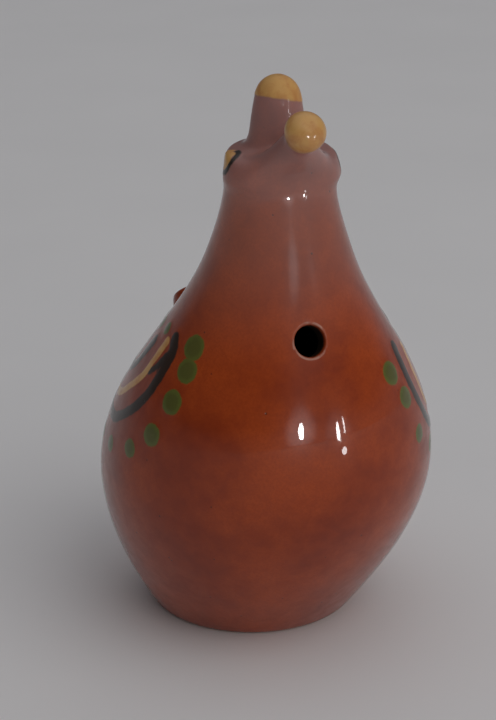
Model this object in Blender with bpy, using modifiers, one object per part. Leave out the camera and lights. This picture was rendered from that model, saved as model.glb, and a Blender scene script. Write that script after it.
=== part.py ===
"""Bird whistle of glazed earthenware, one hollow piece.

An upright pear-shaped bird on a flat foot. The beak and the crest are drawn
out of the head, and the short rising tail is the mouthpiece. Breath goes down
a flat windway in the tail, crosses a window in the underside of its root and
strikes the sharp edge of the lip beyond it. A throat behind the window opens
into the hollow body, and a finger hole goes through the chest.
The bird faces -Y, and the centre of its foot is the origin.
"""
import math

import bmesh
import bpy
import numpy as np
from mathutils import Matrix, Vector

MM = 0.001

# Body, turned about an axis that leans forward as it rises
FOOT_RADIUS = 20.0 * MM
FOOT_EDGE_ROUND = 0.8 * MM
BELLY_RADIUS = 31.4 * MM
BELLY_HEIGHT = 31.0 * MM
UNDERCUT_POWER = 1.63
THROAT_RADIUS = 8.9 * MM
FLANK_HEIGHT = 36.2 * MM
FLANK_POWER = 2.39
LEAN_REACH = 17.1 * MM
LEAN_HEIGHT = 78.0 * MM
LEAN_POWER = 1.3

# Head, flatter in front than at the sides, on a neck with a soft crease below it. The
# dome's rings are (rise in mm, share of width, share of depth, share of the crest's setback)
EYE_HEIGHT = 90.0 * MM
HEAD_FORWARD = 0.9 * MM
HEAD_HALF_WIDTH = 10.6 * MM
HEAD_HALF_DEPTH = 8.3 * MM
NECK_DROP = 3.4 * MM
NECK_HALF_WIDTH = 10.15 * MM
NECK_HALF_DEPTH = 9.5 * MM
HEAD_DOME = ((2.7, 0.965, 0.95, 0.25), (4.5, 0.85, 0.9, 0.6))
HEAD_TILT = math.radians(4.0)

# Crest, which rises out of the top of the head, with the size of its rings along it
CREST_ROOT_RISE = 5.5 * MM
CREST_LENGTH = 11.6 * MM
CREST_HALF_WIDTH = 4.3 * MM
CREST_HALF_DEPTH = 4.6 * MM
CREST_SETBACK = 2.4 * MM
CREST_SHAPE = ((0.0, 1.36), (0.3, 1.12), (0.6, 1.0), (0.82, 0.86), (0.96, 0.6), (1.04, 0.24))

# Beak, measured from the middle of the head: a short thick stem that ends in a ball
BEAK_LENGTH = 19.0 * MM
BEAK_RADIUS = 3.5 * MM
BEAK_RAISE = math.radians(41.5)
BEAK_SHAPE = ((0.64, 1.05), (0.75, 0.95), (0.87, 1.16), (0.99, 0.82))

# Tail, measured along its own axis from the back of the body, a flattened stub
TAIL_ROOT_HEIGHT = 42.0 * MM
TAIL_RISE = math.radians(50.0)
TAIL_LENGTH = 15.0 * MM
TAIL_HALF_WIDTH = 7.2 * MM
TAIL_HALF_THICKNESS = 5.6 * MM
TAIL_SHAPE = ((0.45, 1.12), (0.85, 1.0), (1.0, 0.97), (1.0, 0.75))

# Hollow
WALL = 4.5 * MM
CHAMBER_TOP = 76.0 * MM

# Finger hole
FINGER_HOLE_RADIUS = 2.8 * MM
FINGER_HOLE_HEIGHT = 64.5 * MM
FINGER_HOLE_ROUND = 0.6 * MM

# Windway, window, lip and throat
WINDWAY_WIDTH = 7.0 * MM
WINDWAY_HEIGHT = 1.6 * MM
WINDWAY_LENGTH = 6.5 * MM
WINDWAY_FLARE = 1.15
WINDWAY_DROP = 1.2 * MM
WINDOW_LENGTH = 3.6 * MM
THROAT_HEIGHT = 3.8 * MM
RAMP_ANGLE = math.radians(43.0)

# Cages and the fineness of their surfaces
LOWEST_RING = 11.0 * MM
HIGHEST_RING = 81.0 * MM
BODY_RINGS = 8
CHAMBER_RINGS = 6
INNER_SHARE = 0.45
SKIN_ACROSS = 3
CHAMBER_ACROSS = 2
SKIN_LEVELS = 2
HOLE_STEPS = 24
ARC_POINTS = 4

GLAZE_COLOUR = (0.27, 0.055, 0.022, 1.0)


def body_radius(z):
    """Radius of the turned body: cut in to the foot below, a long soft flank above."""
    if z < BELLY_HEIGHT:
        drop = (BELLY_HEIGHT - z) / BELLY_HEIGHT
        return BELLY_RADIUS - (BELLY_RADIUS - FOOT_RADIUS) * drop ** UNDERCUT_POWER
    rise = (z - BELLY_HEIGHT) / FLANK_HEIGHT
    return THROAT_RADIUS + (BELLY_RADIUS - THROAT_RADIUS) * math.exp(-rise ** FLANK_POWER)


def lean(z):
    """Y of the body's axis at a height."""
    left = 1.0 - min(z / LEAN_HEIGHT, 1.0)
    return -LEAN_REACH * (1.0 - left ** LEAN_POWER)


def slope(function, z):
    """Rate of change of a profile function at a height."""
    step = 0.1 * MM
    return (function(z + step) - function(z - step)) / (2.0 * step)


def proud(rings, kept):
    """Moves rings off their places so that the smoothed skin passes through them.

    The first kept rings and the last one stay.
    """
    count = len(rings)
    spread = np.eye(count)
    for row in range(kept, count - 1):
        spread[row, row - 1:row + 2] = (1.0 / 6.0, 4.0 / 6.0, 1.0 / 6.0)
    return np.linalg.solve(spread, np.array(rings)).tolist()


def ring_gain(points):
    """How far outside a smooth circle the points of its coarse ring stand."""
    return 3.0 / (2.0 + math.cos(2.0 * math.pi / points))


def new_collection(name):
    collection = bpy.data.collections.new(name)
    bpy.context.scene.collection.children.link(collection)
    return collection


def new_object(name, bm, collection):
    """Turns a finished BMesh into an object with smooth shading."""
    bmesh.ops.recalc_face_normals(bm, faces=bm.faces[:])
    mesh = bpy.data.meshes.new(name)
    bm.to_mesh(mesh)
    bm.free()
    mesh.shade_smooth()
    obj = bpy.data.objects.new(name, mesh)
    collection.objects.link(obj)
    return obj


def box_cage(across, rings):
    """A box of across by across faces, carried to one ring of points at each level.

    Each ring is (centre y, z, half width, half depth, tilt about X). Returns the
    cage and its front and back faces by (side, column, row).
    """
    rows = len(rings) - 1
    bm = bmesh.new()
    bmesh.ops.create_cube(bm, size=2.0)
    level = [edge for edge in bm.edges if abs(edge.verts[0].co.z - edge.verts[1].co.z) < 0.5]
    bmesh.ops.subdivide_edges(bm, edges=level, cuts=across - 1, use_grid_fill=True)
    upright = [edge for edge in bm.edges if abs(edge.verts[0].co.z - edge.verts[1].co.z) > 0.5]
    bmesh.ops.subdivide_edges(bm, edges=upright, cuts=rows - 1, use_grid_fill=True)
    places = {}
    for face in bm.faces:
        x, y, z = face.calc_center_median()
        if abs(y) > 0.99:
            places[round(y), round(0.5 * across * x), math.floor(0.5 * (z + 1.0) * rows)] = face
    gain = ring_gain(4 * across)
    for vert in bm.verts:
        x, y, z = vert.co
        centre_y, height, half_width, half_depth, tilt = rings[round(0.5 * (z + 1.0) * rows)]
        size = gain if max(abs(x), abs(y)) > 0.99 else INNER_SHARE
        aim = Vector((math.tan(0.25 * math.pi * x), math.tan(0.25 * math.pi * y)))
        aim = size * aim.normalized()
        place = Vector((half_width * aim.x, half_depth * aim.y, 0.0))
        place.rotate(Matrix.Rotation(tilt, 3, "X"))
        vert.co = place + Vector((0.0, centre_y, height))
    return bm, places


def patch_aims(patch, across):
    """The direction and share of size for each point of a patch, by its coordinates."""
    verts = {vert for face in patch for vert in face.verts}
    edge = {vert for vert in verts if any(face not in patch for face in vert.link_faces)}
    middle = sum((vert.co for vert in edge), Vector()) / len(edge)
    wide = max(abs(vert.co.x - middle.x) for vert in edge)
    deep = max(abs((vert.co - middle).dot(across)) for vert in edge)
    aims = {}
    for vert in verts:
        offset = vert.co - middle
        size = ring_gain(len(edge)) if vert in edge else INNER_SHARE
        aims[tuple(vert.co)] = size * Vector((offset.x / wide, offset.dot(across) / deep)).normalized()
    return aims


def draw_out(bm, patch, axis, stations):
    """Draws a patch of faces out along an axis in the plane of symmetry.

    The patch is carried to an ellipse at each station, which is (centre, half
    width, half depth across the axis).
    """
    across = axis.cross(Vector((1.0, 0.0, 0.0)))
    aims = patch_aims(patch, across)
    for centre, half_width, half_depth in stations:
        drawn = bmesh.ops.extrude_face_region(bm, geom=patch)["geom"]
        bmesh.ops.delete(bm, geom=[face for face in patch if face.is_valid], context="FACES")
        patch = [item for item in drawn if isinstance(item, bmesh.types.BMFace)]
        carried = {}
        for vert in {vert for face in patch for vert in face.verts}:
            aim = aims[tuple(vert.co)]
            vert.co = centre + Vector((aim.x * half_width, 0.0, 0.0)) + aim.y * half_depth * across
            carried[tuple(vert.co)] = aim
        aims = carried


def skin_rings():
    """Rings of the outer skin from the flat foot to the top of the crest."""
    foot_inner = FOOT_RADIUS - 2.0 * FOOT_EDGE_ROUND
    rings = [(0.0, 0.0, foot_inner, foot_inner, 0.0), (0.0, 0.0, FOOT_RADIUS, FOOT_RADIUS, 0.0)]
    for z in body_heights():
        rings.append((lean(z), z, body_radius(z), body_radius(z), 0.0))
    neck = EYE_HEIGHT - NECK_DROP
    rings.append((lean(neck), neck, NECK_HALF_WIDTH, NECK_HALF_DEPTH, 0.0))
    centre_y = head_centre().y
    rings.append((centre_y, EYE_HEIGHT, HEAD_HALF_WIDTH, HEAD_HALF_DEPTH, 0.5 * HEAD_TILT))
    for rise, wide, deep, back in HEAD_DOME:
        half_width = wide * HEAD_HALF_WIDTH
        half_depth = deep * HEAD_HALF_DEPTH
        y = centre_y + back * CREST_SETBACK
        rings.append((y, EYE_HEIGHT + rise * MM, half_width, half_depth, HEAD_TILT))
    for share, size in CREST_SHAPE:
        z = EYE_HEIGHT + CREST_ROOT_RISE + share * CREST_LENGTH
        half_width = size * CREST_HALF_WIDTH
        half_depth = size * CREST_HALF_DEPTH
        rings.append((centre_y + CREST_SETBACK, z, half_width, half_depth, 0.0))
    return proud(rings, 3)


def body_heights():
    """Levels of the body's rings between the foot and the neck."""
    return [1.5 * FOOT_EDGE_ROUND, *np.linspace(LOWEST_RING, HIGHEST_RING, BODY_RINGS)]


def head_centre():
    return Vector((0.0, lean(EYE_HEIGHT) - HEAD_FORWARD, EYE_HEIGHT))


def beak_stations():
    """The axis of the beak and its round stations."""
    axis = Vector((0.0, -math.cos(BEAK_RAISE), math.sin(BEAK_RAISE)))
    stations = []
    for share, size in BEAK_SHAPE:
        half = size * BEAK_RADIUS
        stations.append((head_centre() + share * BEAK_LENGTH * axis, half, half))
    return axis, stations


def tail_axis():
    return Vector((0.0, math.cos(TAIL_RISE), math.sin(TAIL_RISE)))


def tail_point(out, up):
    """A point in the plane of symmetry, out along the tail's axis and up across it."""
    root = Vector((0.0, lean(TAIL_ROOT_HEIGHT) + body_radius(TAIL_ROOT_HEIGHT), TAIL_ROOT_HEIGHT))
    across = Vector((0.0, -math.sin(TAIL_RISE), math.cos(TAIL_RISE)))
    return root + out * tail_axis() + up * across


def tail_stations():
    """The axis of the tail and its oval stations, the last two in one flat end."""
    stations = []
    for share, size in TAIL_SHAPE:
        centre = tail_point(share * TAIL_LENGTH, 0.0)
        stations.append((centre, size * TAIL_HALF_WIDTH, size * TAIL_HALF_THICKNESS))
    return tail_axis(), stations


def build_skin(collection):
    """The outer form, with the beak and the tail drawn out of its cage."""
    rings = skin_rings()
    bm, places = box_cage(SKIN_ACROSS, rings)
    brow_row = 4 + len(body_heights())
    beak_patch = [places[-1, column, row] for column in (-1, 0, 1) for row in (brow_row, brow_row + 1)]
    draw_out(bm, beak_patch, *beak_stations())
    tail_row = sum(1 for ring in rings if ring[1] < TAIL_ROOT_HEIGHT) - 1
    tail_patch = [places[1, 0, row] for row in (tail_row, tail_row + 1)]
    draw_out(bm, tail_patch, *tail_stations())
    skin = new_object("whistle_body", bm, collection)
    soften(skin)
    return skin


def soften(obj):
    """Smooths a coarse cage."""
    smooth = obj.modifiers.new("soft form", "SUBSURF")
    smooth.levels = SKIN_LEVELS
    smooth.render_levels = SKIN_LEVELS


def build_chamber(collection):
    """The hollow, one wall inside the turned body."""
    rings = []
    for z in np.linspace(WALL, CHAMBER_TOP, CHAMBER_RINGS):
        rings.append((lean(z), z, body_radius(z) - WALL, body_radius(z) - WALL, 0.0))
    bm, _ = box_cage(CHAMBER_ACROSS, proud(rings, 1))
    chamber = new_object("chamber_cut", bm, collection)
    soften(chamber)
    return chamber


def build_finger_hole(collection):
    """A straight bore with a rounded outer rim, square to the chest."""
    z = FINGER_HOLE_HEIGHT
    surface = Vector((0.0, lean(z) - body_radius(z), z))
    rise = math.atan(slope(lean, z) - slope(body_radius, z))
    outward = Vector((0.0, -math.cos(rise), math.sin(rise)))
    rim = FINGER_HOLE_RADIUS + FINGER_HOLE_ROUND
    outline = [(0.0, 2.0 * WALL), (rim, 2.0 * WALL)]
    for step in range(ARC_POINTS + 1):
        turn = 0.5 * math.pi * (1.0 - step / ARC_POINTS)
        outline.append((rim - FINGER_HOLE_ROUND * math.cos(turn), FINGER_HOLE_ROUND * (math.sin(turn) - 1.0)))
    outline.extend([(FINGER_HOLE_RADIUS, -2.0 * WALL), (0.0, -2.0 * WALL)])
    bm = bmesh.new()
    verts = [bm.verts.new((x, 0.0, height)) for x, height in outline]
    for first, second in zip(verts, verts[1:]):
        bm.edges.new((first, second))
    hole = new_object("finger_hole_cut", bm, collection)
    turn = hole.modifiers.new("turned", "SCREW")
    turn.steps = HOLE_STEPS
    turn.render_steps = HOLE_STEPS
    turn.use_merge_vertices = True
    turn.merge_threshold = 0.0001
    hole.rotation_euler = outward.to_track_quat("Z", "Y").to_euler()
    hole.location = surface
    return hole


def build_tail_cut(name, collection, width, corners, flare=1.0):
    """A cut across the plane of symmetry with four corners given in the tail's directions.

    The corners run (inner low, outer low, inner high, outer high), and flare
    widens the outer end.
    """
    bm = bmesh.new()
    bmesh.ops.create_cube(bm, size=2.0)
    for vert in bm.verts:
        x, out, up = vert.co
        corner = corners[(1 if out > 0.0 else 0) + (2 if up > 0.0 else 0)]
        half = 0.5 * width * (flare if out > 0.0 else 1.0)
        vert.co = tail_point(*corner) + Vector((math.copysign(half, x), 0.0, 0.0))
    return new_object(name, bm, collection)


def build_windway(collection):
    """The flat channel that the breath goes down, a little wider at the lips."""
    inner = TAIL_LENGTH - WINDWAY_LENGTH - 0.5 * WINDOW_LENGTH
    outer = TAIL_LENGTH + WALL
    floor = -WINDWAY_DROP
    roof = floor + WINDWAY_HEIGHT
    grow = 0.5 * (WINDWAY_FLARE - 1.0) * WINDWAY_HEIGHT
    corners = ((inner, floor), (outer, floor - grow), (inner, roof), (outer, roof + grow))
    return build_tail_cut("windway_cut", collection, WINDWAY_WIDTH, corners, WINDWAY_FLARE)


def build_window(collection):
    """The window under the tail, square at the windway and ramped at the lip."""
    outer = TAIL_LENGTH - WINDWAY_LENGTH
    edge = outer - WINDOW_LENGTH
    floor = -WINDWAY_DROP
    depth = 2.0 * TAIL_HALF_THICKNESS
    ramp = edge - depth / math.tan(RAMP_ANGLE)
    roof = floor + 0.5 * THROAT_HEIGHT
    edge_high = edge + 0.5 * THROAT_HEIGHT / math.tan(RAMP_ANGLE)
    corners = ((ramp, floor - depth), (outer, floor - depth), (edge_high, roof), (outer, roof))
    return build_tail_cut("window_cut", collection, WINDWAY_WIDTH, corners)


def build_throat(collection):
    """The way from the window into the hollow, over the lip."""
    outer = TAIL_LENGTH - WINDWAY_LENGTH
    inner = -2.0 * WALL
    floor = -WINDWAY_DROP
    roof = floor + THROAT_HEIGHT
    corners = ((inner, floor), (outer, floor), (inner, roof), (outer, roof))
    return build_tail_cut("throat_cut", collection, WINDWAY_WIDTH, corners)


def cut(target, cutter):
    """Takes the cutter's form out of the target."""
    cutter.hide_render = True
    cutter.display_type = "WIRE"
    step = target.modifiers.new(cutter.name, "BOOLEAN")
    step.operation = "DIFFERENCE"
    step.solver = "EXACT"
    step.object = cutter


def glaze():
    material = bpy.data.materials.new("glazed earthenware")
    material.use_nodes = True
    shader = material.node_tree.nodes["Principled BSDF"]
    shader.inputs["Base Color"].default_value = GLAZE_COLOUR
    shader.inputs["Roughness"].default_value = 0.18
    shader.inputs["Metallic"].default_value = 0.0
    return material


def main():
    for obj in list(bpy.data.objects):
        bpy.data.objects.remove(obj, do_unlink=True)
    pieces = new_collection("bird_whistle")
    cutters = new_collection("bird_whistle_cutters")
    skin = build_skin(pieces)
    skin.data.materials.append(glaze())
    for build in (build_chamber, build_finger_hole, build_windway, build_window, build_throat):
        cut(skin, build(cutters))


main()
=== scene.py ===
"""Looks of the bird whistle: glazed red earthenware with painted wings and ochre tips.

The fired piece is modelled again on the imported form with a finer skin, the soft
unevenness of hand work and the low relief of its slip painting.
"""
import math

import bmesh
import bpy
import numpy as np
from bpy.props import FloatProperty, FloatVectorProperty, PointerProperty
from mathutils import Matrix, Vector, noise


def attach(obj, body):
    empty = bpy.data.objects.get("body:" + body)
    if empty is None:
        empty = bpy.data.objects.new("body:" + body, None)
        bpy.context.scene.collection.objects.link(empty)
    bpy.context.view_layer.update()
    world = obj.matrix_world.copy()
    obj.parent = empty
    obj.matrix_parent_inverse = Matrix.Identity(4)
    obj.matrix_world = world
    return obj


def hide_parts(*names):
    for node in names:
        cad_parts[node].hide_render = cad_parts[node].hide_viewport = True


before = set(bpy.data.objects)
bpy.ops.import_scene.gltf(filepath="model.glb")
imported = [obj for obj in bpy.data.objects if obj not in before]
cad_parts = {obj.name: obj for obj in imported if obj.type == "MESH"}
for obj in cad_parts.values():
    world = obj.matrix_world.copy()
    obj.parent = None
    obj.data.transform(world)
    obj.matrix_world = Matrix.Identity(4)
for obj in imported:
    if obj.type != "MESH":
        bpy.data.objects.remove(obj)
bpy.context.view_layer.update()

bl_info = {
    "name": "Glazed bird whistle",
    "version": (1, 0, 0),
    "blender": (4, 5, 0),
    "location": "View3D > Sidebar > Whistle",
    "description": "Models and glazes an earthenware bird whistle and sets its studio",
    "category": "Add Mesh",
}

MM = 0.001

# Fineness of the fired skin, and how far before the X direction, in radians, the points of a
# round section start to be counted
SKIN_ACROSS = 3
CHAMBER_ACROSS = 2
SKIN_LEVELS = 4
CHAMBER_LEVELS = 3
INNER_SHARE = 0.45
HOLE_STEPS = 72
ARC_POINTS = 8
FOOT_RINGS = 2
BODY_RINGS = 8
NECK_RINGS = 2
CHAMBER_RINGS = 6
FIRST_TURN = 0.3

# Outline of the turned body
FOOT_EDGE_ROUND = 0.8 * MM
UNDERCUT_POWER = 1.63
THROAT_RADIUS = 8.9 * MM
FLANK_HEIGHT = 36.2 * MM
FLANK_POWER = 2.39
LEAN_HEIGHT = 78.0 * MM
LEAN_POWER = 1.3
LOWEST_RING = 11.0 * MM
HIGHEST_RING = 81.0 * MM

# Neck, head, crest and beak. Rings of the head's dome are (rise in mm, share of width,
# share of depth, share of the crest's setback)
NECK_DROP = 2.6 * MM
NECK_HALF_WIDTH = 10.15 * MM
NECK_HALF_DEPTH = 9.5 * MM
HEAD_FORWARD = 0.9 * MM
HEAD_HALF_DEPTH = 8.3 * MM
HEAD_DOME = ((2.7, 0.965, 0.99, 0.1), (4.5, 0.85, 0.9, 0.6))
HEAD_TILT = math.radians(4.0)
CREST_ROOT_RISE = 5.5 * MM
CREST_HALF_WIDTH = 4.3 * MM
CREST_HALF_DEPTH = 4.6 * MM
CREST_SETBACK = 2.4 * MM
CREST_SHAPE = ((0.0, 1.36), (0.3, 1.12), (0.6, 1.0), (0.82, 0.86), (0.96, 0.6), (1.04, 0.24))
BEAK_RADIUS = 3.5 * MM
BEAK_SHAPE = (
    (0.62, 1.0), (0.715, 0.74), (0.8, 0.92), (0.87, 1.06), (0.94, 0.98), (1.0, 0.72), (1.03, 0.38),
)

# Tail and voicing
TAIL_ROOT_HEIGHT = 42.0 * MM
TAIL_HALF_WIDTH = 7.2 * MM
TAIL_HALF_THICKNESS = 5.6 * MM
TAIL_SHAPE = ((0.45, 1.12), (0.85, 1.0), (1.0, 0.97), (1.0, 0.75))
WINDWAY_WIDTH = 7.0 * MM
WINDWAY_HEIGHT = 1.6 * MM
WINDWAY_LENGTH = 6.5 * MM
WINDWAY_FLARE = 1.15
WINDWAY_DROP = 1.2 * MM
WINDOW_LENGTH = 3.6 * MM
THROAT_HEIGHT = 3.8 * MM
RAMP_ANGLE = math.radians(43.0)

# Hand work: height over which it sets in above the level foot, its long and short waves as
# (size, share, seed), the width of the shoulder of a slip, and the depth at which it fades out
# in the openings
LEVEL_FOOT = 3.0 * MM
WAVES = ((22.0 * MM, 0.7, 3.1), (8.0 * MM, 0.3, 7.7))
SLIP_SHOULDER = 0.6 * MM
SKIN_DEPTH = 0.3 * MM

# Ochre dips: start of the one on the beak from the middle of the head, height of the one on the
# crest, which lies higher towards the bird's right and the front, and how far from the crest's
# middle it reaches
BEAK_DIP = 14.3 * MM
CREST_DIP = 13.5 * MM
CREST_DIP_RIGHT = 0.21
CREST_DIP_FRONT = 0.15
CREST_REACH = 6.2 * MM

# Painted eyes: their middles in mm, the ochre, and the black ring, which is open behind
EYES = ((-9.5, -16.8, 93.3), (10.3, -17.9, 91.3))
EYE_RADIUS = 1.75 * MM
EYE_BACK_RADIUS = 2.4 * MM
EYE_RING_RADIUS = 2.25 * MM
EYE_RING_HALF_WIDTH = 0.5 * MM
EYE_OPENING = 0.6 * MM

# Clear gloss: its share on the body, the depth at which it ends in the openings and the
# distance over which it does, and how much of it the crest loses over a rise above the eyes.
# The last is the share of the hole's rounding at which a pale ring is painted as the rim's highlight
GLOSS = 0.8
GLOSS_END = 1.1 * MM
GLOSS_FADE = 0.5 * MM
CREST_LOSS = 0.8
CREST_LOSS_FROM = 4.5 * MM
CREST_LOSS_RISE = 3.0 * MM
RIM_SHARE = 0.55

# Sizes of the patterns in clay, slip and glaze, taken as common for such ware and matched, not
# measured. Grit is about two pixels of the picture wide, as finer grit wouldn't show
CLOUD_SIZE = 18.0 * MM
SMEAR_SIZE = 3.0 * MM
GRIT_SIZE = 0.45 * MM
SPECK_SPACING = 2.6 * MM
SLIP_EDGE_SIZE = 1.6 * MM
WASH_SIZE = 1.3 * MM
RIPPLE_SIZE = 6.0 * MM
PEEL_SIZE = 1.1 * MM
MOTTLE_SIZE = 60.0 * MM

# Studio: the key light as (azimuth, elevation, distance, width), and the windows that show in
# the gloss as (name, azimuth, elevation, distance, width, height, share of power)
STUDIO_CENTRE = (0.0, -0.02, 0.05)
KEY = (30.0, 36.0, 1.8, 2.2)
WINDOWS = (
    ("window_a", 3.0, 6.0, 2.0, 0.12, 0.3, 1.0),
    ("window_b", 31.0, 1.0, 1.0, 0.05, 0.19, 0.12),
    ("window_c", 36.0, 4.0, 2.0, 0.035, 0.3, 0.08),
)
LAMP_PLACE = (0.150, -0.250, 0.011)
LAMP_WIDTH = 0.02
LAMP_SHARE = 0.002
FLOOR_HALF_WIDTH = 4.0
CAMERA_PLACE = (-0.10955, -0.34517, 0.1882)
CAMERA_AIM = (0.0, -0.008, 0.0514)
CAMERA_SHIFT = -0.0228

# Air: its colour, the soft glow around two windows as (azimuth, elevation, strength), and the
# direction across the lit wall's edge
AIR_COLOUR = "#D8DADF"
GLOWS = ((3.0, 6.0, 2.2), (31.0, 1.0, 1.0))
WALL_ACROSS = 0.857
WALL_ALONG = 0.515

# Marks of the wings as half width in mm and places, each (degrees from the beak towards the
# bird's left, height in mm)
LEFT_WING = {
    "black": (
        (1.25, ((-81, 61.6), (-76.5, 59.4), (-76, 56.2), (-76.6, 53.2), (-79.5, 50), (-85, 47),
                (-93, 44.4), (-101, 43.8), (-109, 44.3), (-121, 46.5), (-133, 50))),
        (0.9, ((-79.5, 58.3), (-81.6, 56.6), (-85, 54.8))),
        (1.3, ((-101, 58.5), (-102.5, 56), (-104.5, 53.6), (-110, 52), (-121, 52.3), (-134, 55))),
    ),
    "ochre": (
        (0.95, ((-86.5, 60.4), (-87.6, 57.1), (-89, 53.6), (-94.8, 50.4), (-102, 47.8),
                (-112, 47.1), (-124, 49.5), (-134, 52.5))),
    ),
    "green": (
        (2.4, (-63.8, 61.7)), (2.3, (-61.5, 57.9)), (2.3, (-62.2, 52.4)), (2.1, (-65.7, 45.9)),
        (1.8, (-74.6, 41.7)), (1.6, (-89.5, 39.5)), (1.6, (-105, 38.8)), (1.6, (-120, 40.5)),
        (1.7, (-134, 44)), (1.3, (-95, 61.9)), (1.5, (-110, 61.2)), (1.5, (-124, 61)),
    ),
}
RIGHT_WING = {
    "black": (
        (1.25, ((57.5, 58.4), (55.8, 56.5), (54.2, 51.6), (56.9, 46.8), (63.2, 42.2), (73, 40),
                (83, 39.8), (95, 41.5), (110, 45))),
        (1.3, ((84, 57), (83, 54.5), (86, 50.5), (94, 48.5), (108, 50.5))),
    ),
    "ochre": (
        (0.95, ((71.5, 56.6), (67, 53.6), (66, 50), (67.4, 46.3), (74, 44), (84, 43.8),
                (96, 45.5), (109, 48.5))),
    ),
    "green": (
        (2.3, (42, 55.6)), (2.1, (45.6, 50.5)), (1.8, (48.5, 42.8)), (1.8, (60.9, 37.8)),
        (1.6, (76, 35.5)), (1.6, (92, 35.8)), (1.7, (108, 39)), (1.5, (82, 61.5)), (1.5, (96, 60)),
    ),
}


def linear(code):
    """An sRGB hex colour as the linear RGBA that a shader takes."""
    channels = []
    for start in (1, 3, 5):
        value = int(code[start:start + 2], 16) / 255.0
        channels.append(value / 12.92 if value <= 0.04045 else ((value + 0.055) / 1.055) ** 2.4)
    return (*channels, 1.0)


def colour(label, words, code):
    return FloatVectorProperty(
        name=label, description=words, subtype="COLOR", size=4, min=0.0, max=1.0, default=linear(code)
    )


def length(label, words, millimetres):
    return FloatProperty(name=label, description=words, unit="LENGTH", min=0.0, default=millimetres * MM)


def angle(label, words, degrees):
    return FloatProperty(name=label, description=words, unit="ROTATION", default=math.radians(degrees))


def power(label, words, watts):
    return FloatProperty(name=label, description=words, unit="POWER", min=0.0, default=watts)


class WhistleForm(bpy.types.PropertyGroup):
    """Sizes of the fired clay."""

    foot_radius: length("Foot radius", "Radius of the flat foot", 20.0)
    belly_radius: length("Belly radius", "Largest radius of the body", 31.4)
    belly_height: length("Belly height", "Height of the widest part", 31.0)
    lean_reach: length("Forward lean", "How far the neck leans towards the beak", 17.1)
    eye_height: length("Eye height", "Height of the middle of the head", 90.0)
    head_half_width: length("Head half width", "Half of the head's width at the eyes", 10.6)
    crest_length: length("Crest length", "How far the crest rises out of the head", 11.6)
    beak_length: length("Beak length", "From the middle of the head to the end of the beak", 19.0)
    beak_raise: angle("Beak raise", "Angle of the beak above level", 41.5)
    tail_length: length("Tail length", "How far the mouthpiece stands out", 15.0)
    tail_rise: angle("Tail rise", "Angle of the tail above level", 50.0)
    wall: length("Wall", "Thickness of the clay", 4.5)
    chamber_top: length("Chamber top", "Height of the top of the hollow", 76.0)
    hole_radius: length("Finger hole radius", "Radius of the pierced hole", 2.8)
    hole_height: length("Finger hole height", "Height of the hole in the chest", 64.5)
    hole_round: length("Rim rounding", "Radius of the hole's outer rim", 0.7)
    unevenness: length("Hand unevenness", "How far the skin wanders from the turned form", 0.22)
    slip_relief: length("Slip relief", "How high the painted slip stands", 0.1)


class WhistleGlaze(bpy.types.PropertyGroup):
    """Colours of clay, slip and glaze."""

    red: colour("Red glaze", "Where the glaze lies thin over red clay", "#AB471B")
    deep: colour("Deep glaze", "Where the glaze pools thicker", "#832F13")
    # Painted highlight: pale colour of the ring painted on the hole's rim where the light catches it
    painted_rim_highlight: colour("Thin glaze", "Where the glaze breaks pale on the rim of the hole", "#C9A08C")
    iron: colour("Iron specks", "Burnt specks under the glaze", "#3A1A10")
    # Painted sheen: the next two are pale hazes laid over the glaze of neck and head for the reflection of
    # light from above
    painted_sheen: colour("Warm bloom", "Haze in the glaze of the neck", "#CABDB4")
    grey_painted_sheen: colour("Ash bloom", "Greyer haze in the glaze of head and crest", "#B4BCC4")
    clay: colour("Bare clay", "Unglazed fired clay under the foot", "#A96A4A")
    ochre: colour("Ochre slip", "Tips, eyes and feather strokes", "#D3A260")
    green: colour("Green slip", "Thin edge of the dots", "#59652C")
    moss: colour("Dark green slip", "Thick middle of the dots", "#515929")
    black: colour("Black slip", "Outlines of wings and eyes", "#26241F")
    # Painted shade: dark tone laid inside the bore and openings for the shade in them
    painted_opening_shade: colour("Inside", "Dark unglazed clay inside the wall", "#33291F")


class WhistleStudio(bpy.types.PropertyGroup):
    """Camera and light."""

    lens: FloatProperty(name="Focal length", description="Lens in millimetres", default=100.95, min=1.0)
    paper: colour("Paper", "Plain pale floor", "#EBE8E6")
    key_power: power("Key light", "Power of the large soft light", 9.4)
    window_power: power("Window", "Power of the brightest opening", 11.0)


def body_radius(form, z):
    """Radius of the turned body: cut in to the foot below, a long soft flank above."""
    if z < form.belly_height:
        drop = (form.belly_height - z) / form.belly_height
        return form.belly_radius - (form.belly_radius - form.foot_radius) * drop ** UNDERCUT_POWER
    rise = (z - form.belly_height) / FLANK_HEIGHT
    return THROAT_RADIUS + (form.belly_radius - THROAT_RADIUS) * math.exp(-rise ** FLANK_POWER)


def lean(form, z):
    """Y of the body's axis at a height."""
    left = 1.0 - min(z / LEAN_HEIGHT, 1.0)
    return -form.lean_reach * (1.0 - left ** LEAN_POWER)


def slope(function, form, z):
    step = 0.1 * MM
    return (function(form, z + step) - function(form, z - step)) / (2.0 * step)


def proud(rings, kept):
    """Moves rings off their places so that the smoothed skin passes through them."""
    count = len(rings)
    spread = np.eye(count)
    for row in range(kept, count - 1):
        spread[row, row - 1:row + 2] = (1.0 / 6.0, 4.0 / 6.0, 1.0 / 6.0)
    return np.linalg.solve(spread, np.array(rings)).tolist()


def ring_gain(points):
    """How far outside a smooth circle the points of its coarse ring stand."""
    return 3.0 / (2.0 + math.cos(2.0 * math.pi / points))


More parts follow.
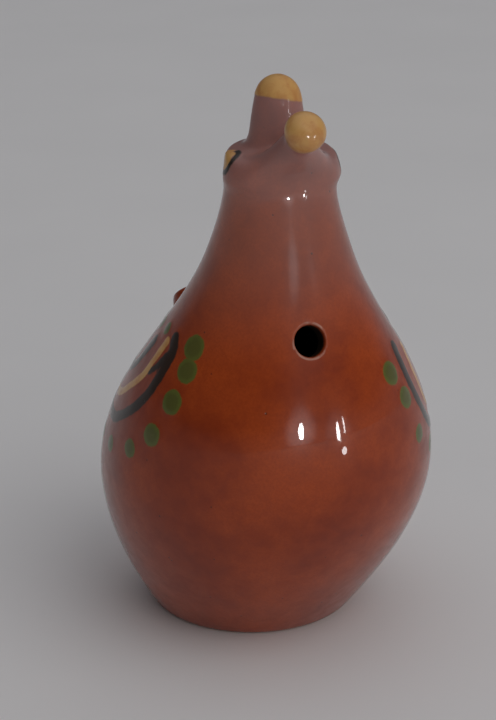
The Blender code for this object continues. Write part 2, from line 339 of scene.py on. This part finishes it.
def new_object(name, bm):
    """Turns a finished BMesh into an object with smooth shading."""
    bmesh.ops.recalc_face_normals(bm, faces=bm.faces[:])
    mesh = bpy.data.meshes.new(name)
    bm.to_mesh(mesh)
    bm.free()
    mesh.shade_smooth()
    obj = bpy.data.objects.new(name, mesh)
    bpy.context.scene.collection.objects.link(obj)
    return obj


def soften(obj, levels):
    smooth = obj.modifiers.new("soft form", "SUBSURF")
    smooth.levels = levels
    smooth.render_levels = levels


def box_cage(across, rings):
    """A box of across by across faces, carried to one ring of points at each level."""
    rows = len(rings) - 1
    bm = bmesh.new()
    bmesh.ops.create_cube(bm, size=2.0)
    level = [edge for edge in bm.edges if abs(edge.verts[0].co.z - edge.verts[1].co.z) < 0.5]
    bmesh.ops.subdivide_edges(bm, edges=level, cuts=across - 1, use_grid_fill=True)
    upright = [edge for edge in bm.edges if abs(edge.verts[0].co.z - edge.verts[1].co.z) > 0.5]
    bmesh.ops.subdivide_edges(bm, edges=upright, cuts=rows - 1, use_grid_fill=True)
    places = {}
    for face in bm.faces:
        x, y, z = face.calc_center_median()
        if abs(y) > 0.99:
            places[round(y), round(0.5 * across * x), math.floor(0.5 * (z + 1.0) * rows)] = face
    gain = ring_gain(4 * across)
    for vert in bm.verts:
        x, y, z = vert.co
        centre_y, height, half_width, half_depth, tilt = rings[round(0.5 * (z + 1.0) * rows)]
        size = gain if max(abs(x), abs(y)) > 0.99 else INNER_SHARE
        aim = Vector((math.tan(0.25 * math.pi * x), math.tan(0.25 * math.pi * y)))
        aim = size * aim.normalized()
        place = Vector((half_width * aim.x, half_depth * aim.y, 0.0))
        place.rotate(Matrix.Rotation(tilt, 3, "X"))
        vert.co = place + Vector((0.0, centre_y, height))
    return bm, places


def patch_aims(patch, across, even):
    """The direction and share of size for each point of a patch, by its coordinates.

    The edge's points keep their directions, or are spread evenly for a round section.
    """
    verts = {vert for face in patch for vert in face.verts}
    edge = {vert for vert in verts if any(face not in patch for face in vert.link_faces)}
    middle = sum((vert.co for vert in edge), Vector()) / len(edge)
    wide = max(abs(vert.co.x - middle.x) for vert in edge)
    deep = max(abs((vert.co - middle).dot(across)) for vert in edge)
    aims = {}
    turns = {}
    for vert in verts:
        offset = vert.co - middle
        size = ring_gain(len(edge)) if vert in edge else INNER_SHARE
        aim = Vector((offset.x / wide, offset.dot(across) / deep)).normalized()
        aims[tuple(vert.co)] = size * aim
        turns[vert] = (math.atan2(aim.y, aim.x) + FIRST_TURN) % (2.0 * math.pi)
    if even:
        for place, vert in enumerate(sorted(edge, key=turns.get)):
            turn = 2.0 * math.pi * place / len(edge)
            aims[tuple(vert.co)] = ring_gain(len(edge)) * Vector((math.cos(turn), math.sin(turn)))
    return aims


def draw_out(bm, patch, axis, stations, even=False):
    """Draws a patch of faces out along an axis, an ellipse at each station."""
    across = axis.cross(Vector((1.0, 0.0, 0.0)))
    aims = patch_aims(patch, across, even)
    for centre, half_width, half_depth in stations:
        drawn = bmesh.ops.extrude_face_region(bm, geom=patch)["geom"]
        bmesh.ops.delete(bm, geom=[face for face in patch if face.is_valid], context="FACES")
        patch = [item for item in drawn if isinstance(item, bmesh.types.BMFace)]
        carried = {}
        for vert in {vert for face in patch for vert in face.verts}:
            aim = aims[tuple(vert.co)]
            vert.co = centre + Vector((aim.x * half_width, 0.0, 0.0)) + aim.y * half_depth * across
            carried[tuple(vert.co)] = aim
        aims = carried


def body_heights():
    return [1.5 * FOOT_EDGE_ROUND, *np.linspace(LOWEST_RING, HIGHEST_RING, BODY_RINGS)]


def skin_rings(form):
    """Rings of the outer skin from the flat foot to the top of the crest."""
    foot_inner = form.foot_radius - 2.0 * FOOT_EDGE_ROUND
    rings = [(0.0, 0.0, foot_inner, foot_inner, 0.0), (0.0, 0.0, form.foot_radius, form.foot_radius, 0.0)]
    for z in body_heights():
        rings.append((lean(form, z), z, body_radius(form, z), body_radius(form, z), 0.0))
    neck = form.eye_height - NECK_DROP
    rings.append((lean(form, neck), neck, NECK_HALF_WIDTH, NECK_HALF_DEPTH, 0.0))
    centre_y = head_centre(form).y
    rings.append((centre_y, form.eye_height, form.head_half_width, HEAD_HALF_DEPTH, 0.5 * HEAD_TILT))
    for rise, wide, deep, back in HEAD_DOME:
        half_width = wide * form.head_half_width
        half_depth = deep * HEAD_HALF_DEPTH
        y = centre_y + back * CREST_SETBACK
        rings.append((y, form.eye_height + rise * MM, half_width, half_depth, HEAD_TILT))
    for share, size in CREST_SHAPE:
        z = form.eye_height + CREST_ROOT_RISE + share * form.crest_length
        rings.append((centre_y + CREST_SETBACK, z, size * CREST_HALF_WIDTH, size * CREST_HALF_DEPTH, 0.0))
    return proud(rings, 3)


def head_centre(form):
    return Vector((0.0, lean(form, form.eye_height) - HEAD_FORWARD, form.eye_height))


def beak_axis(form):
    return Vector((0.0, -math.cos(form.beak_raise), math.sin(form.beak_raise)))


def tail_axis(form):
    return Vector((0.0, math.cos(form.tail_rise), math.sin(form.tail_rise)))


def tail_point(form, out, up):
    """A point in the plane of symmetry, out along the tail's axis and up across it."""
    z = TAIL_ROOT_HEIGHT
    root = Vector((0.0, lean(form, z) + body_radius(form, z), z))
    across = Vector((0.0, -math.sin(form.tail_rise), math.cos(form.tail_rise)))
    return root + out * tail_axis(form) + up * across


def build_skin(form):
    rings = skin_rings(form)
    bm, places = box_cage(SKIN_ACROSS, rings)
    brow_row = FOOT_RINGS + len(body_heights()) + NECK_RINGS
    patch = [places[-1, column, row] for column in (-1, 0, 1) for row in (brow_row, brow_row + 1)]
    stations = []
    for share, size in BEAK_SHAPE:
        half = size * BEAK_RADIUS
        stations.append((head_centre(form) + share * form.beak_length * beak_axis(form), half, half))
    draw_out(bm, patch, beak_axis(form), stations, even=True)
    tail_row = sum(1 for ring in rings if ring[1] < TAIL_ROOT_HEIGHT) - 1
    patch = [places[1, 0, row] for row in (tail_row, tail_row + 1)]
    stations = []
    for share, size in TAIL_SHAPE:
        centre = tail_point(form, share * form.tail_length, 0.0)
        stations.append((centre, size * TAIL_HALF_WIDTH, size * TAIL_HALF_THICKNESS))
    draw_out(bm, patch, tail_axis(form), stations)
    skin = new_object("skin", bm)
    soften(skin, SKIN_LEVELS)
    return skin


def build_chamber(form):
    rings = []
    for z in np.linspace(form.wall, form.chamber_top, CHAMBER_RINGS):
        half = body_radius(form, z) - form.wall
        rings.append((lean(form, z), z, half, half, 0.0))
    bm, _ = box_cage(CHAMBER_ACROSS, proud(rings, 1))
    chamber = new_object("chamber", bm)
    soften(chamber, CHAMBER_LEVELS)
    return chamber


def hole_place(form):
    """The middle of the finger hole on the chest and the direction out of it."""
    z = form.hole_height
    surface = Vector((0.0, lean(form, z) - body_radius(form, z), z))
    rise = math.atan(slope(lean, form, z) - slope(body_radius, form, z))
    return surface, Vector((0.0, -math.cos(rise), math.sin(rise)))


def build_finger_hole(form):
    """A straight bore with a rounded outer rim, square to the chest."""
    surface, outward = hole_place(form)
    rim = form.hole_radius + form.hole_round
    outline = [(0.0, 2.0 * form.wall), (rim, 2.0 * form.wall)]
    for step in range(ARC_POINTS + 1):
        turn = 0.5 * math.pi * (1.0 - step / ARC_POINTS)
        outline.append((rim - form.hole_round * math.cos(turn), form.hole_round * (math.sin(turn) - 1.0)))
    outline.extend([(form.hole_radius, -2.0 * form.wall), (0.0, -2.0 * form.wall)])
    bm = bmesh.new()
    verts = [bm.verts.new((x, 0.0, height)) for x, height in outline]
    edges = [bm.edges.new(pair) for pair in zip(verts, verts[1:])]
    bmesh.ops.spin(
        bm, geom=verts + edges, axis=(0.0, 0.0, 1.0), cent=(0.0, 0.0, 0.0), dvec=(0.0, 0.0, 0.0),
        angle=2.0 * math.pi, steps=HOLE_STEPS, use_merge=True, use_normal_flip=False, use_duplicate=False,
    )
    bmesh.ops.remove_doubles(bm, verts=bm.verts[:], dist=0.001 * MM)
    turn = outward.to_track_quat("Z", "Y").to_matrix()
    bmesh.ops.rotate(bm, verts=bm.verts[:], cent=(0.0, 0.0, 0.0), matrix=turn)
    bmesh.ops.translate(bm, verts=bm.verts[:], vec=surface)
    return new_object("finger_hole", bm)


def build_tail_cut(form, name, width, corners, flare=1.0):
    """A cut across the plane of symmetry with four corners in the tail's directions."""
    bm = bmesh.new()
    bmesh.ops.create_cube(bm, size=2.0)
    for vert in bm.verts:
        x, out, up = vert.co
        corner = corners[(1 if out > 0.0 else 0) + (2 if up > 0.0 else 0)]
        half = 0.5 * width * (flare if out > 0.0 else 1.0)
        vert.co = tail_point(form, *corner) + Vector((math.copysign(half, x), 0.0, 0.0))
    return new_object(name, bm)


def build_windway(form):
    inner = form.tail_length - WINDWAY_LENGTH - 0.5 * WINDOW_LENGTH
    outer = form.tail_length + form.wall
    floor = -WINDWAY_DROP
    roof = floor + WINDWAY_HEIGHT
    grow = 0.5 * (WINDWAY_FLARE - 1.0) * WINDWAY_HEIGHT
    corners = ((inner, floor), (outer, floor - grow), (inner, roof), (outer, roof + grow))
    return build_tail_cut(form, "windway", WINDWAY_WIDTH, corners, WINDWAY_FLARE)


def build_window(form):
    outer = form.tail_length - WINDWAY_LENGTH
    edge = outer - WINDOW_LENGTH
    floor = -WINDWAY_DROP
    depth = 2.0 * TAIL_HALF_THICKNESS
    ramp = edge - depth / math.tan(RAMP_ANGLE)
    roof = floor + 0.5 * THROAT_HEIGHT
    edge_high = edge + 0.5 * THROAT_HEIGHT / math.tan(RAMP_ANGLE)
    corners = ((ramp, floor - depth), (outer, floor - depth), (edge_high, roof), (outer, roof))
    return build_tail_cut(form, "window", WINDWAY_WIDTH, corners)


def build_throat(form):
    outer = form.tail_length - WINDWAY_LENGTH
    floor = -WINDWAY_DROP
    roof = floor + THROAT_HEIGHT
    corners = ((-2.0 * form.wall, floor), (outer, floor), (-2.0 * form.wall, roof), (outer, roof))
    return build_tail_cut(form, "throat", WINDWAY_WIDTH, corners)


def carve(skin, cutters):
    """Takes the cutters out of the skin and returns the finished mesh."""
    for cutter in cutters:
        step = skin.modifiers.new(cutter.name, "BOOLEAN")
        step.operation = "DIFFERENCE"
        step.solver = "EXACT"
        step.object = cutter
    graph = bpy.context.evaluated_depsgraph_get()
    mesh = bpy.data.meshes.new_from_object(skin.evaluated_get(graph))
    for obj in (skin, *cutters):
        old = obj.data
        bpy.data.objects.remove(obj, do_unlink=True)
        bpy.data.meshes.remove(old)
    return mesh


def coordinates(mesh):
    flat = np.empty(3 * len(mesh.vertices))
    mesh.vertices.foreach_get("co", flat)
    return flat.reshape(-1, 3)


def normals(mesh):
    flat = np.empty(3 * len(mesh.vertices))
    mesh.vertex_normals.foreach_get("vector", flat)
    return flat.reshape(-1, 3)


def on_body(form, degrees, millimetres):
    """A point of the turned body's surface."""
    z = millimetres * MM
    turn = math.radians(degrees)
    radius = body_radius(form, z)
    return np.array((radius * math.sin(turn), lean(form, z) - radius * math.cos(turn), z))


def smooth_path(points, steps=8):
    """Points of a smooth curve through the given ones."""
    padded = np.vstack((2.0 * points[0] - points[1], points, 2.0 * points[-1] - points[-2]))
    path = []
    for a, b, c, d in zip(padded, padded[1:], padded[2:], padded[3:]):
        for t in np.linspace(0.0, 1.0, steps, endpoint=False):
            path.append(0.5 * (2.0 * b + (c - a) * t + (2.0 * a - 5.0 * b + 4.0 * c - d) * t * t
                               + (3.0 * b - a - 3.0 * c + d) * t ** 3))
    path.append(points[-1])
    return np.array(path)


def stroke_distance(places, path, half_width):
    """Distance from each place to the edge of a brush stroke that thins towards its end."""
    thinning = half_width * np.linspace(1.08, 0.7, len(path))
    nearest = np.full(len(places), 1.0)
    for point, width in zip(path, thinning):
        nearest = np.minimum(nearest, np.linalg.norm(places - point, axis=1) - width)
    return nearest


def slip_fields(form, places):
    """Distance of each place from the edge of the black, ochre and green slip, negative inside."""
    fields = {name: np.full(len(places), 1.0) for name in ("black", "ochre", "green")}
    for wing in (LEFT_WING, RIGHT_WING):
        for name in ("black", "ochre"):
            for half_width, marks in wing[name]:
                path = smooth_path(np.array([on_body(form, *mark) for mark in marks]))
                fields[name] = np.minimum(fields[name], stroke_distance(places, path, half_width * MM))
        for radius, mark in wing["green"]:
            away = np.linalg.norm(places - on_body(form, *mark), axis=1) - radius * MM
            fields["green"] = np.minimum(fields["green"], away)
    return fields


def pattern(places, size, seed):
    """Soft noise between about -1 and 1 with features of the given size."""
    shift = Vector((seed, 2.0 * seed, 3.0 * seed))
    return np.array([noise.noise(Vector(place) / size + shift) for place in places])


def depth_in_wall(form, places):
    """How deep each place lies under the turned skin, for the hollow and its openings."""
    depth = np.zeros(len(places))
    for index, (x, y, z) in enumerate(places):
        if 0.5 * MM < z < form.chamber_top + form.wall:
            depth[index] = body_radius(form, z) - math.hypot(x, y - lean(form, z))
    return depth


def rim_distance(form, places):
    """Distance of each place from the edge of the finger hole."""
    middle, outward = (np.array(vector) for vector in hole_place(form))
    along = (places - middle) @ outward
    across = np.linalg.norm(places - middle - along[:, None] * outward, axis=1)
    edge = form.hole_radius + RIM_SHARE * form.hole_round
    return np.where(np.abs(along) < form.wall, np.abs(across - edge), 1.0)


def store(mesh, name, values):
    """Stores one value per vertex, lengths in millimetres."""
    layer = mesh.attributes.new(name, "FLOAT", "POINT")
    layer.data.foreach_set("value", values)


def dips(form, places):
    """Distance from the edge of the ochre on the tips of beak and crest."""
    reach = (places - np.array(head_centre(form))) @ np.array(beak_axis(form))
    crest_y = head_centre(form).y + CREST_SETBACK
    brim = (form.eye_height + CREST_DIP - CREST_DIP_RIGHT * places[:, 0]
            + CREST_DIP_FRONT * (crest_y - places[:, 1]))
    on_crest = np.abs(places[:, 1] - crest_y) < CREST_REACH
    return np.minimum(BEAK_DIP - reach, np.where(on_crest, brim - places[:, 2], 1.0)), on_crest


def painted_eyes(places):
    """Distance from the edge of the eyes' ochre and of their black rings."""
    ochre = np.full(len(places), 1.0)
    rings = np.full(len(places), 1.0)
    for eye in EYES:
        away = np.linalg.norm(places - np.array(eye) * MM, axis=1)
        behind = places[:, 1] - eye[1] * MM - EYE_OPENING
        back = np.maximum(away - EYE_BACK_RADIUS, -behind)
        ring = np.abs(away - EYE_RING_RADIUS) - EYE_RING_HALF_WIDTH
        ochre = np.minimum.reduce((ochre, away - EYE_RADIUS, back))
        rings = np.minimum(rings, np.maximum(ring, behind))
    return ochre, rings


def finish_surface(form, mesh):
    """Gives the skin its unevenness and painted relief, and stores where slips and gloss lie."""
    places = coordinates(mesh)
    outward = normals(mesh)
    fields = slip_fields(form, places)
    tips, on_crest = dips(form, places)
    eyes, rings = painted_eyes(places)
    fields["ochre"] = np.minimum.reduce((fields["ochre"], tips, eyes))
    fields["black"] = np.minimum(fields["black"], rings)
    waves = sum(share * pattern(places, size, seed) for size, share, seed in WAVES)
    raised = np.zeros(len(places))
    for field in fields.values():
        raised = np.maximum(raised, np.clip(0.5 - field / SLIP_SHOULDER, 0.0, 1.0))
    standing = np.clip(places[:, 2] / LEVEL_FOOT, 0.0, 1.0)
    depth = depth_in_wall(form, places)
    skin = np.clip(1.0 - depth / SKIN_DEPTH, 0.0, 1.0)
    lift = standing * skin * (form.unevenness * waves + form.slip_relief * raised)
    moved = places + outward * lift[:, None]
    mesh.vertices.foreach_set("co", moved.ravel())
    for name, field in fields.items():
        store(mesh, f"{name}_slip", field / MM)
    store(mesh, "depth", depth / MM)
    store(mesh, "rim", rim_distance(form, places) / MM)
    risen = (places[:, 2] - form.eye_height - CREST_LOSS_FROM) / CREST_LOSS_RISE
    thin = np.where(on_crest, np.clip(risen, 0.0, CREST_LOSS), 0.0)
    inside = np.clip((depth - GLOSS_END) / GLOSS_FADE, 0.0, 1.0)
    store(mesh, "gloss", GLOSS * (1.0 - thin) * (1.0 - inside))
    mesh.update()


def add(tree, kind, links=None, **settings):
    """Adds a node, sets it and joins or fills its inputs."""
    node = tree.nodes.new(kind)
    for name, value in settings.items():
        setattr(node, name, value)
    for key, value in (links or {}).items():
        if isinstance(value, bpy.types.NodeSocket):
            tree.links.new(value, node.inputs[key])
        else:
            node.inputs[key].default_value = value
    return node


def blend(tree, share, first, second):
    """One colour laid over another by a share."""
    return add(tree, "ShaderNodeMix", {0: share, 6: first, 7: second}, data_type="RGBA").outputs[2]


def band(tree, value, low, high, out_low=0.0, out_high=1.0):
    """A soft step of a value from low to high."""
    links = {"Value": value, "From Min": low, "From Max": high, "To Min": out_low, "To Max": out_high}
    return add(tree, "ShaderNodeMapRange", links, interpolation_type="SMOOTHSTEP").outputs[0]


def calc(tree, operation, first, second=0.0):
    return add(tree, "ShaderNodeMath", {0: first, 1: second}, operation=operation).outputs[0]


def grain(tree, place, size, detail=2.0, roughness=0.5, distortion=0.0):
    """Noise whose features measure the given size in metres."""
    links = {"Vector": place, "Scale": 1.0 / size, "Detail": detail, "Roughness": roughness}
    links["Distortion"] = distortion
    return add(tree, "ShaderNodeTexNoise", links).outputs[0]


def glazed_earthenware(colours):
    """Red earthenware under a clear lead glaze with painted slips.

    The clay shows through as a warm red-brown that clouds where the glaze
    pools. The glaze gives sharp lights on a faintly rippled skin with pinholes
    and iron specks. A pale painted highlight rings the rim of the hole, a pale
    painted sheen lies on neck and head for the light from above, and painted
    shade darkens the openings inside the wall. Slips are matter in tone and
    stand a little proud.
    """
    material = bpy.data.materials.new("glazed earthenware")
    material.use_nodes = True
    tree = material.node_tree
    shader = tree.nodes["Principled BSDF"]
    place = add(tree, "ShaderNodeTexCoord").outputs["Object"]
    clouds = grain(tree, place, CLOUD_SIZE, 3.0, 0.5)
    smears = grain(tree, place, SMEAR_SIZE, 3.0, 0.6, 0.4)
    grit = grain(tree, place, GRIT_SIZE, 2.0, 0.6)
    cloudy = calc(tree, "ADD", calc(tree, "MULTIPLY", clouds, 0.7), calc(tree, "MULTIPLY", smears, 0.3))
    base = blend(tree, band(tree, cloudy, 0.3, 0.7), tuple(colours.red), tuple(colours.deep))
    base = blend(tree, band(tree, grit, 0.35, 0.7, 0.0, 0.35), base, tuple(colours.deep))
    spread = {"Vector": place, "Scale": 1.0 / SPECK_SPACING, "Randomness": 1.0}
    cells = add(tree, "ShaderNodeTexVoronoi", spread)
    chosen = band(tree, cells.outputs["Color"], 0.56, 0.6)
    speck = calc(tree, "MULTIPLY", band(tree, cells.outputs["Distance"], 0.1, 0.05), chosen)
    base = blend(tree, calc(tree, "MULTIPLY", speck, 0.75), base, tuple(colours.iron))
    height = add(tree, "ShaderNodeSeparateXYZ", {0: place}).outputs[2]
    # Painted sheen: pale hazes on the neck and, greyer, on the head, for the reflection of light from
    # above
    neck = band(tree, height, 58.0 * MM, 84.0 * MM, 0.0, 0.15)
    base = blend(tree, neck, base, tuple(colours.painted_sheen))
    head = band(tree, height, 80.0 * MM, 100.0 * MM, 0.0, 0.16)
    base = blend(tree, head, base, tuple(colours.grey_painted_sheen))

    ragged = grain(tree, place, SLIP_EDGE_SIZE, 3.0, 0.6)
    ragged = calc(tree, "MULTIPLY", calc(tree, "SUBTRACT", ragged, 0.5), 0.6)
    covers = {}
    for name in ("green", "black", "ochre"):
        field = add(tree, "ShaderNodeAttribute", attribute_name=f"{name}_slip").outputs["Fac"]
        covers[name] = calc(tree, "ADD", field, ragged)
    wash = calc(tree, "ADD", covers["green"], grain(tree, place, WASH_SIZE, 3.0, 0.65))
    green = blend(tree, band(tree, wash, -0.6, 0.3), tuple(colours.moss), tuple(colours.green))
    base = blend(tree, band(tree, covers["green"], 0.22, -0.22, 0.0, 0.94), base, green)
    base = blend(tree, band(tree, covers["black"], 0.22, -0.22, 0.0, 0.95), base, tuple(colours.black))
    ochre = blend(tree, band(tree, smears, 0.35, 0.7, 0.0, 0.35), tuple(colours.ochre), tuple(colours.red))
    base = blend(tree, band(tree, covers["ochre"], 0.2, -0.2, 0.0, 0.96), base, ochre)

    # Painted highlight: a pale ring painted on the finger hole's rounded rim, broken up by noise
    rim = add(tree, "ShaderNodeAttribute", attribute_name="rim").outputs["Fac"]
    rim_highlight_share = band(tree, smears, 0.35, 0.6, 0.15, 1.0)
    rim_highlight_share = calc(tree, "MULTIPLY", band(tree, rim, 0.3, 0.1, 0.0, 0.55), rim_highlight_share)
    base = blend(tree, rim_highlight_share, base, tuple(colours.painted_rim_highlight))
    bare = band(tree, height, 0.5 * MM, 0.25 * MM)
    base = blend(tree, bare, base, tuple(colours.clay))
    # Painted shade: the openings are darkened inside the wall, where shade falls
    depth = add(tree, "ShaderNodeAttribute", attribute_name="depth").outputs["Fac"]
    inside = band(tree, depth, 0.7, 1.5)
    base = blend(tree, inside, base, tuple(colours.painted_opening_shade))
    rough = band(tree, smears, 0.3, 0.7, 0.3, 0.4)

    ripple = calc(tree, "MULTIPLY", grain(tree, place, RIPPLE_SIZE, 2.0, 0.5), 0.025)
    peel = calc(tree, "MULTIPLY", grain(tree, place, PEEL_SIZE, 2.0, 0.5), 0.003)
    pinhole = calc(tree, "MULTIPLY", speck, -0.03)
    relief = calc(tree, "ADD", calc(tree, "ADD", ripple, peel), pinhole)
    bump = add(tree, "ShaderNodeBump", {"Strength": 1.0, "Distance": MM, "Height": relief}).outputs[0]

    shader.inputs["IOR"].default_value = 1.5
    shader.inputs["Coat Roughness"].default_value = 0.035
    shader.inputs["Specular IOR Level"].default_value = 0.06
    gloss = add(tree, "ShaderNodeAttribute", attribute_name="gloss").outputs["Fac"]
    tree.links.new(gloss, shader.inputs["Coat Weight"])
    shader.inputs["Coat IOR"].default_value = 1.42
    tree.links.new(base, shader.inputs["Base Color"])
    tree.links.new(rough, shader.inputs["Roughness"])
    tree.links.new(bump, shader.inputs["Normal"])
    tree.links.new(bump, shader.inputs["Coat Normal"])
    return material


def matt_paper(tone):
    """Uncoated paper: an even pale field with the faintest mottle and no shine."""
    material = bpy.data.materials.new("matt paper")
    material.use_nodes = True
    tree = material.node_tree
    shader = tree.nodes["Principled BSDF"]
    place = add(tree, "ShaderNodeTexCoord").outputs["Object"]
    mottle = grain(tree, place, MOTTLE_SIZE, 3.0, 0.5)
    darker = tuple(0.94 * channel for channel in tone[:3]) + (1.0,)
    tree.links.new(blend(tree, mottle, tuple(tone), darker), shader.inputs["Base Color"])
    shader.inputs["Roughness"].default_value = 0.9
    shader.inputs["Specular IOR Level"].default_value = 0.2
    return material


class WHISTLE_OT_body(bpy.types.Operator):
    """Model the fired body with its painting and glaze it"""

    bl_idname = "whistle.body"
    bl_label = "Glazed body"

    def execute(self, context):
        form = context.scene.whistle_form
        skin = build_skin(form)
        makers = (build_chamber, build_finger_hole, build_windway, build_window, build_throat)
        mesh = carve(skin, [make(form) for make in makers])
        if len(mesh.polygons) == 0:
            raise RuntimeError("the body came out empty")
        mesh.name = "glazed_body"
        finish_surface(form, mesh)
        mesh.shade_smooth()
        mesh.set_sharp_from_angle(angle=math.radians(35.0))
        body = bpy.data.objects.new("glazed_body", mesh)
        context.scene.collection.objects.link(body)
        mesh.materials.clear()
        mesh.materials.append(glazed_earthenware(context.scene.whistle_glaze))
        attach(body, "root")
        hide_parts("whistle_body")
        return {"FINISHED"}


def area_light(name, place, width, height, watts):
    """An elliptical light that faces the middle of the stage."""
    light = bpy.data.lights.new(name, "AREA")
    light.shape = "ELLIPSE"
    light.size = width
    light.size_y = height
    light.energy = watts
    obj = bpy.data.objects.new(name, light)
    obj.location = place
    facing = Vector(STUDIO_CENTRE) - Vector(place)
    obj.rotation_euler = facing.to_track_quat("-Z", "Y").to_euler()
    bpy.context.scene.collection.objects.link(obj)
    return obj


def towards(degrees, rise, distance, centre=STUDIO_CENTRE):
    """A point at an azimuth from the front, an elevation and a distance."""
    turn = math.radians(degrees)
    up = math.radians(rise)
    away = Vector((math.sin(turn) * math.cos(up), -math.cos(turn) * math.cos(up), math.sin(up)))
    return Vector(centre) + distance * away


def studio_air():
    """Soft air: pale at the horizon and above, dim between them and on the left.

    One lit wall stands in front, and the air glows around two windows.
    """
    world = bpy.data.worlds.new("studio air")
    world.use_nodes = True
    tree = world.node_tree
    background = tree.nodes["Background"]
    aim = add(tree, "ShaderNodeTexCoord").outputs["Generated"]
    across, along, up = add(tree, "ShaderNodeSeparateXYZ", {0: aim}).outputs
    low = band(tree, up, 0.2, 0.0, 0.0, 0.26)
    high = band(tree, up, 0.45, 0.9, 0.1, 0.8)
    sides = calc(tree, "MULTIPLY", high, band(tree, across, -0.9, 0.9, 0.6, 1.2))
    turned = calc(tree, "MULTIPLY", across, WALL_ACROSS)
    turned = calc(tree, "ADD", turned, calc(tree, "MULTIPLY", along, WALL_ALONG))
    wall = calc(tree, "MULTIPLY", band(tree, turned, 0.01, -0.01), band(tree, turned, -0.75, -0.2))
    wall = calc(tree, "MULTIPLY", wall, band(tree, along, 0.0, -0.2))
    wall = calc(tree, "MULTIPLY", wall, band(tree, up, 0.3, 0.5, 0.0, 0.4))
    total = calc(tree, "ADD", calc(tree, "ADD", low, sides), wall)
    for turn, rise, strength in GLOWS:
        links = {0: aim, 1: towards(turn, rise, 1.0, (0.0, 0.0, 0.0))}
        near = add(tree, "ShaderNodeVectorMath", links, operation="DOT_PRODUCT").outputs["Value"]
        total = calc(tree, "ADD", total, band(tree, near, 0.975, 1.0, 0.0, strength))
    background.inputs["Color"].default_value = linear(AIR_COLOUR)
    tree.links.new(total, background.inputs["Strength"])
    return world


class WHISTLE_OT_stage(bpy.types.Operator):
    """Lay the pale floor, hang the lights and set the camera"""

    bl_idname = "whistle.stage"
    bl_label = "Studio"

    def execute(self, context):
        scene = context.scene
        studio = scene.whistle_studio
        bm = bmesh.new()
        bmesh.ops.create_grid(bm, x_segments=8, y_segments=8, size=FLOOR_HALF_WIDTH)
        floor = new_object("floor", bm)
        floor.data.materials.append(matt_paper(studio.paper))

        *direction, width = KEY
        key = area_light("key", towards(*direction), width, width, studio.key_power)
        key.visible_glossy = False
        watts = studio.window_power
        openings = []
        for name, degrees, rise, distance, width, height, share in WINDOWS:
            place = towards(degrees, rise, distance)
            openings.append(area_light(name, place, width, height, share * watts))
        openings.append(area_light("lamp", LAMP_PLACE, LAMP_WIDTH, LAMP_WIDTH, LAMP_SHARE * watts))
        for opening in openings:
            opening.visible_diffuse = False
        scene.world = studio_air()
        scene.view_settings.view_transform = "Standard"

        camera = bpy.data.cameras.new("camera")
        camera.lens = studio.lens
        camera.sensor_width = 36.0
        camera.shift_x = CAMERA_SHIFT
        camera.clip_end = 50.0
        viewer = bpy.data.objects.new("camera", camera)
        viewer.location = CAMERA_PLACE
        aim = Vector(CAMERA_AIM) - viewer.location
        viewer.rotation_euler = aim.to_track_quat("-Z", "Y").to_euler()
        scene.collection.objects.link(viewer)
        scene.camera = viewer
        return {"FINISHED"}


class WHISTLE_PT_panel(bpy.types.Panel):
    """The whistle's steps and settings"""

    bl_idname = "WHISTLE_PT_panel"
    bl_label = "Bird whistle"
    bl_space_type = "VIEW_3D"
    bl_region_type = "UI"
    bl_category = "Whistle"

    def draw(self, context):
        layout = self.layout
        for step in STEPS:
            layout.operator(step.bl_idname)
        scene = context.scene
        for group in (scene.whistle_form, scene.whistle_glaze, scene.whistle_studio):
            box = layout.box()
            for name in group.__annotations__:
                box.prop(group, name)


STEPS = (WHISTLE_OT_body, WHISTLE_OT_stage)
CLASSES = (WhistleForm, WhistleGlaze, WhistleStudio, *STEPS, WHISTLE_PT_panel)


def register():
    for cls in CLASSES:
        bpy.utils.register_class(cls)
    bpy.types.Scene.whistle_form = PointerProperty(type=WhistleForm)
    bpy.types.Scene.whistle_glaze = PointerProperty(type=WhistleGlaze)
    bpy.types.Scene.whistle_studio = PointerProperty(type=WhistleStudio)


def unregister():
    del bpy.types.Scene.whistle_studio
    del bpy.types.Scene.whistle_glaze
    del bpy.types.Scene.whistle_form
    for cls in reversed(CLASSES):
        bpy.utils.unregister_class(cls)


def main():
    register()
    bpy.ops.whistle.body()
    bpy.ops.whistle.stage()


if __name__ == "__main__":
    main()
